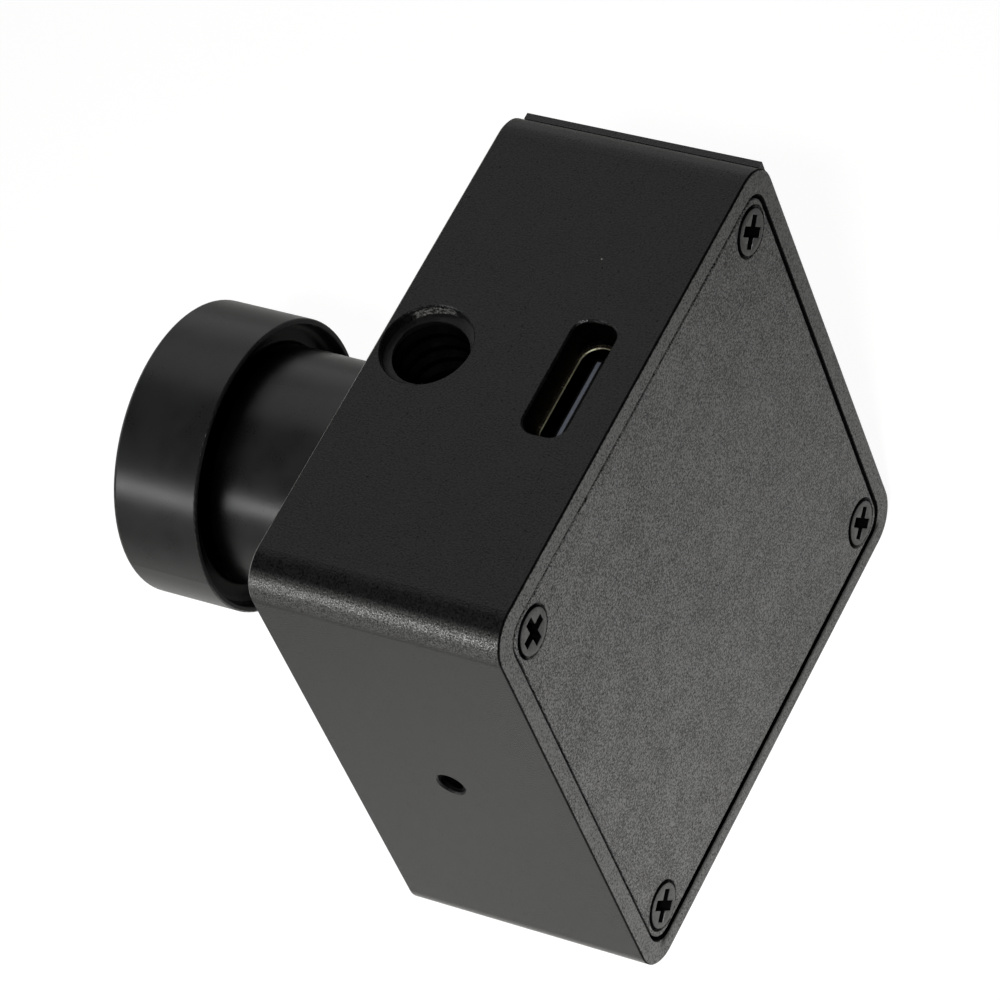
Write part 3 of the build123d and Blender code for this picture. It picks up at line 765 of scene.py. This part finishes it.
def make_tripod_thread(finish):
    """The thread in the tripod hole, below its smooth mouth."""
    sizes = settings("camera_threads")
    hole = mount("tripod_thread")
    root = hole["dims"]["r_mm"] * MM
    top = span("case_body")[1].z - sizes.tripod_mouth
    bottom = hole["pos_m"][2] - hole["dims"]["length_mm"] * MM / 2
    piece = wind_thread(root, sizes.tripod_crest, sizes.tripod_pitch, top - bottom, sizes.steps)
    piece.location = (hole["pos_m"][0], hole["pos_m"][1], bottom)
    return finish_piece(piece, "tripod_thread_ridge", "case", finish)


def make_set_screw_thread(finish):
    """The thread in the set screw's hole, from the screw out to the case's side."""
    sizes = settings("camera_threads")
    low, high, middle = span("lens_set_screw")
    outer = span("case_body")[1].x - sizes.set_mouth
    root = (high.z - low.z) / 2 + 0.05 * MM
    piece = wind_thread(root, sizes.set_crest, sizes.set_pitch, outer - high.x, sizes.steps // 2)
    piece.rotation_euler = (0, math.pi / 2, 0)
    piece.location = (high.x, middle.y, middle.z)
    return finish_piece(piece, "set_screw_thread_ridge", "case", finish)


def cross_cutter(sizes):
    """The tapered cross that is cut out of a screw's head, pointing down from z = 0."""
    start_clean()
    depth, width = sizes.cross_depth, sizes.cross_width
    bpy.ops.mesh.primitive_cube_add(size=1, location=(0, 0, -depth / 2 + 0.1 * MM))
    cutter = bpy.context.object
    cutter.scale = (width, width, depth + 0.2 * MM)
    apply_place()
    for side in (Vector((1, 0, 0)), Vector((0, 1, 0)), Vector((-1, 0, 0)), Vector((0, -1, 0))):
        turned = Vector((-side.y, side.x, 0))

        def faces_side(face):
            return face.normal.dot(side) > 0.9 and abs(face.calc_center_median().dot(turned)) < width / 4

        select_in_edit(cutter, "FACE", faces_side)
        shift = side * (sizes.cross_length - width) / 2
        bpy.ops.mesh.extrude_region_move(TRANSFORM_OT_translate={"value": shift})
    select_in_edit(cutter, "VERT", lambda vertex: vertex.co.z < -depth / 2)
    bpy.ops.transform.resize(value=(0.86, 0.86, 1), center_override=(0, 0, -depth))
    bpy.ops.object.mode_set(mode="OBJECT")
    return cutter


def make_screw(sizes, length):
    """One cover screw standing on z = 0 under its head, with its cross recess."""
    cutter = cross_cutter(sizes)
    start_clean()
    bpy.ops.mesh.primitive_cylinder_add(
        vertices=96, radius=sizes.head_radius, depth=sizes.head_height, location=(0, 0, sizes.head_height / 2)
    )
    screw = bpy.context.object
    apply_place()
    select_in_edit(screw, "EDGE", lambda edge: all(v.co.z > sizes.head_height / 2 for v in edge.verts))
    bpy.ops.mesh.bevel(offset=sizes.edge, segments=3, affect="EDGES")
    bpy.ops.mesh.select_mode(type="FACE")
    select_in_edit(screw, "FACE", lambda face: face.normal.z < -0.5)
    bpy.ops.mesh.inset(thickness=sizes.head_radius - sizes.shank_radius)
    bpy.ops.mesh.extrude_region_move(TRANSFORM_OT_translate={"value": (0, 0, -length)})
    bpy.ops.object.mode_set(mode="OBJECT")
    cutter.location.z = sizes.head_height
    cut = screw.modifiers.new("cross", "BOOLEAN")
    cut.operation = "DIFFERENCE"
    cut.object = cutter
    soften = screw.modifiers.new("soft edges", "BEVEL")
    soften.width = 0.03 * MM
    soften.segments = 2
    soften.angle_limit = math.radians(35)
    apply_modifiers(screw)
    bpy.data.objects.remove(cutter)
    return screw


def make_cover_screws(finish):
    """The four cover screws, each at the turn that it was left at."""
    sizes = settings("camera_screws")
    low, high, middle = span("cover_screws")
    turns = {
        (1, 1): sizes.turn_right_top, (1, -1): sizes.turn_right_bottom,
        (-1, 1): sizes.turn_left_top, (-1, -1): sizes.turn_left_bottom,
    }
    pattern = make_screw(sizes, high.y - low.y - sizes.head_height)
    for number, ((side, level), turn) in enumerate(turns.items(), 1):
        screw = pattern.copy()
        screw.data = pattern.data.copy()
        bpy.context.scene.collection.objects.link(screw)
        facing = Quaternion((1, 0, 0), -math.pi / 2) @ Quaternion((0, 0, 1), math.pi - turn)
        screw.rotation_mode = "QUATERNION"
        screw.rotation_quaternion = facing
        height = high.y + sizes.stand - sizes.head_height
        screw.location = (side * sizes.reach, height, middle.z + level * sizes.reach)
        finish_piece(screw, f"cover_screw_{number}", "case", finish)
        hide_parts("cover_screws")
    bpy.data.objects.remove(pattern)


def make_port_lip(finish):
    """The rolled lip round the mouth of the port's shell."""
    sizes = settings("camera_port")
    mouth = span("port_shell")[1].z
    port = mount("usb_port")["pos_m"]
    start_clean()
    bpy.ops.mesh.primitive_circle_add(vertices=64, radius=sizes.shell_height / 2 - sizes.wall, fill_type="NOTHING")
    piece = bpy.context.object
    straight = (sizes.shell_width - sizes.shell_height) / 2
    for side in (-1, 1):
        select_in_edit(piece, "VERT", lambda vertex: vertex.co.x * side > 1e-6)
        bpy.ops.transform.translate(value=(side * straight, 0, 0))
    bpy.ops.object.mode_set(mode="OBJECT")
    piece.location = (port[0], port[1], mouth)
    bpy.ops.object.convert(target="CURVE")
    piece = bpy.context.object
    piece.data.bevel_depth = sizes.lip
    piece.data.bevel_resolution = 3
    bpy.ops.object.convert(target="MESH")
    return finish_piece(bpy.context.object, "port_lip", "case", finish, 60.0)


def ray_kinds(shader):
    """Whether a ray comes from the camera, from a shiny surface or through glass: three wires of 0 or 1."""
    outputs = shader.node("ShaderNodeLightPath").socket.node.outputs
    return [Wire(shader, outputs[name]) for name in ("Is Camera Ray", "Is Glossy Ray", "Is Transmission Ray")]


def make_floor():
    """A wide white floor that keeps some of the object's shadow."""
    studio = settings("camera_studio")
    start_clean()
    bpy.ops.mesh.primitive_circle_add(vertices=64, radius=6.0, fill_type="NGON", location=(0, 0, 0))
    floor = bpy.context.object
    floor.name = "floor"
    material, shader = new_finish("floor")
    lit = shader.node("ShaderNodeBsdfDiffuse", sockets={"Color": rgba(studio.floor)})
    glow = shader.node("ShaderNodeEmission", sockets={"Color": (1, 1, 1, 1), "Strength": studio.glow})
    seen, mirrored, through = ray_kinds(shader)
    amount = (seen + through) * (1.0 - studio.shadow) + mirrored * (1.0 - studio.mirrored)
    mixed = shader.node("ShaderNodeMixShader", sockets={"Fac": shader.least(amount, 1.0), 1: lit, 2: glow})
    shader.node("ShaderNodeOutputMaterial", sockets={"Surface": mixed})
    floor.data.materials.append(material)


def make_world():
    """A dim studio with white walls in front of the lens and on the left, seen against white."""
    studio = settings("camera_studio")
    world = bpy.context.scene.world or bpy.data.worlds.new("studio")
    bpy.context.scene.world = world
    shader = Shader(world)
    x, y, z = shader.axes(shader.node("ShaderNodeTexCoord", output="Generated"))
    front = (1.0 - y.between(-0.95, -0.72)) * (1.0 - z.between(0.3, 0.8))
    left = (1.0 - x.between(-0.8, -0.5)) * (1.0 - z.between(0.2, 1.0)) * (1.0 - y.between(-0.05, 0.15))
    dim = 1.0 - y.between(0.1, 0.7) * 0.75
    studio_light = front * studio.front_wall + left * studio.left_wall + studio.studio * dim
    seen, mirrored, through = ray_kinds(shader)
    white = shader.least(seen + through, 1.0)
    strength = white + (1.0 - white) * studio_light
    glow = shader.node("ShaderNodeBackground", sockets={"Color": (1, 1, 1, 1), "Strength": strength})
    shader.node("ShaderNodeOutputWorld", sockets={"Surface": glow})


def add_lamp(kind, name, place, aim, power):
    """A lamp aimed at a point."""
    lamp = bpy.data.objects.new(name, bpy.data.lights.new(name, kind))
    lamp.data.energy = power
    lamp.location = place
    lamp.rotation_mode = "QUATERNION"
    lamp.rotation_quaternion = (Vector(place) - Vector(aim)).to_track_quat("Z", "Y")
    bpy.context.scene.collection.objects.link(lamp)
    return lamp


def make_lamps():
    """A narrow strip low on the right, a wide dim panel high in front and a spot from the back right."""
    studio = settings("camera_studio")
    middle = (0, -0.006, 0.02)
    strip = add_lamp("AREA", "strip lamp", (0.52, -0.29, 0.165), middle, studio.strip)
    panel = add_lamp("AREA", "panel", (-0.33, -0.32, 0.56), middle, studio.panel)
    for lamp, size in ((strip, (0.34, 0.06)), (panel, (0.42, 0.42))):
        lamp.data.shape = "RECTANGLE"
        lamp.data.size, lamp.data.size_y = size
    spot = add_lamp("SPOT", "spot", (0.335, 0.205, 0.474), (0.028, 0.008, 0.0), studio.spot)
    spot.data.spot_size = studio.spot_angle
    spot.data.spot_blend = 1.0
    spot.data.shadow_soft_size = 0.04


def make_camera():
    """The camera at the photograph's viewing angle."""
    studio = settings("camera_studio")
    camera = bpy.data.objects.new("camera", bpy.data.cameras.new("camera"))
    camera.data.lens = studio.lens
    camera.data.sensor_width = 36.0
    camera.data.clip_start = 0.01
    camera.data.clip_end = 50.0
    camera.location = studio.camera_place
    back = Vector(studio.camera_place) - Vector(studio.aim_place)
    camera.rotation_mode = "QUATERNION"
    camera.rotation_quaternion = back.to_track_quat("Z", "Y") @ Quaternion((0, 0, 1), studio.roll)
    bpy.context.scene.collection.objects.link(camera)
    bpy.context.scene.camera = camera


class CAMERA_OT_stage(bpy.types.Operator):
    """Sets up the floor, the lamps and the camera"""

    bl_idname = "box_camera.stage"
    bl_label = "Stage"

    def execute(self, context):
        context.scene.view_settings.view_transform = "Standard"
        make_floor()
        make_world()
        make_lamps()
        make_camera()
        return {"FINISHED"}


class CAMERA_OT_finishes(bpy.types.Operator):
    """Gives every piece of the camera its finish"""

    bl_idname = "box_camera.finishes"
    bl_label = "Finishes"

    def execute(self, context):
        finishes = make_finishes()
        dress_nodes(finishes)
        return {"FINISHED"}


class CAMERA_OT_threads(bpy.types.Operator):
    """Cuts the threads in the tripod hole and the set screw's hole"""

    bl_idname = "box_camera.threads"
    bl_label = "Threads"

    def execute(self, context):
        finish = bpy.data.materials["thread black"]
        make_tripod_thread(finish)
        make_set_screw_thread(finish)
        return {"FINISHED"}


class CAMERA_OT_screws(bpy.types.Operator):
    """Makes the four cover screws"""

    bl_idname = "box_camera.screws"
    bl_label = "Cover screws"

    def execute(self, context):
        make_cover_screws(bpy.data.materials["screw oxide"])
        return {"FINISHED"}


class CAMERA_OT_port(bpy.types.Operator):
    """Rounds the mouth of the port"""

    bl_idname = "box_camera.port"
    bl_label = "Port"

    def execute(self, context):
        make_port_lip(bpy.data.materials["lip plating"])
        return {"FINISHED"}


OPERATORS = (CAMERA_OT_stage, CAMERA_OT_finishes, CAMERA_OT_threads, CAMERA_OT_screws, CAMERA_OT_port)


class CAMERA_PT_tools(bpy.types.Panel):
    """Lists the camera's tools"""

    bl_label = "Box Camera"
    bl_space_type = "VIEW_3D"
    bl_region_type = "UI"
    bl_category = "Box Camera"

    def draw(self, context):
        for operator in OPERATORS:
            self.layout.operator(operator.bl_idname)


def register():
    """Registers the settings, the operators and the panel."""
    for name, group in SETTINGS:
        bpy.utils.register_class(group)
        setattr(bpy.types.Scene, name, PointerProperty(type=group))
    for operator in OPERATORS:
        bpy.utils.register_class(operator)
    bpy.utils.register_class(CAMERA_PT_tools)


def unregister():
    """Takes them out again."""
    bpy.utils.unregister_class(CAMERA_PT_tools)
    for operator in reversed(OPERATORS):
        bpy.utils.unregister_class(operator)
    for name, group in reversed(SETTINGS):
        delattr(bpy.types.Scene, name)
        bpy.utils.unregister_class(group)


def main():
    """Makes the scene."""
    register()
    bpy.ops.box_camera.stage()
    bpy.ops.box_camera.finishes()
    bpy.ops.box_camera.threads()
    bpy.ops.box_camera.screws()
    bpy.ops.box_camera.port()


if __name__ == "__main__":
    main()
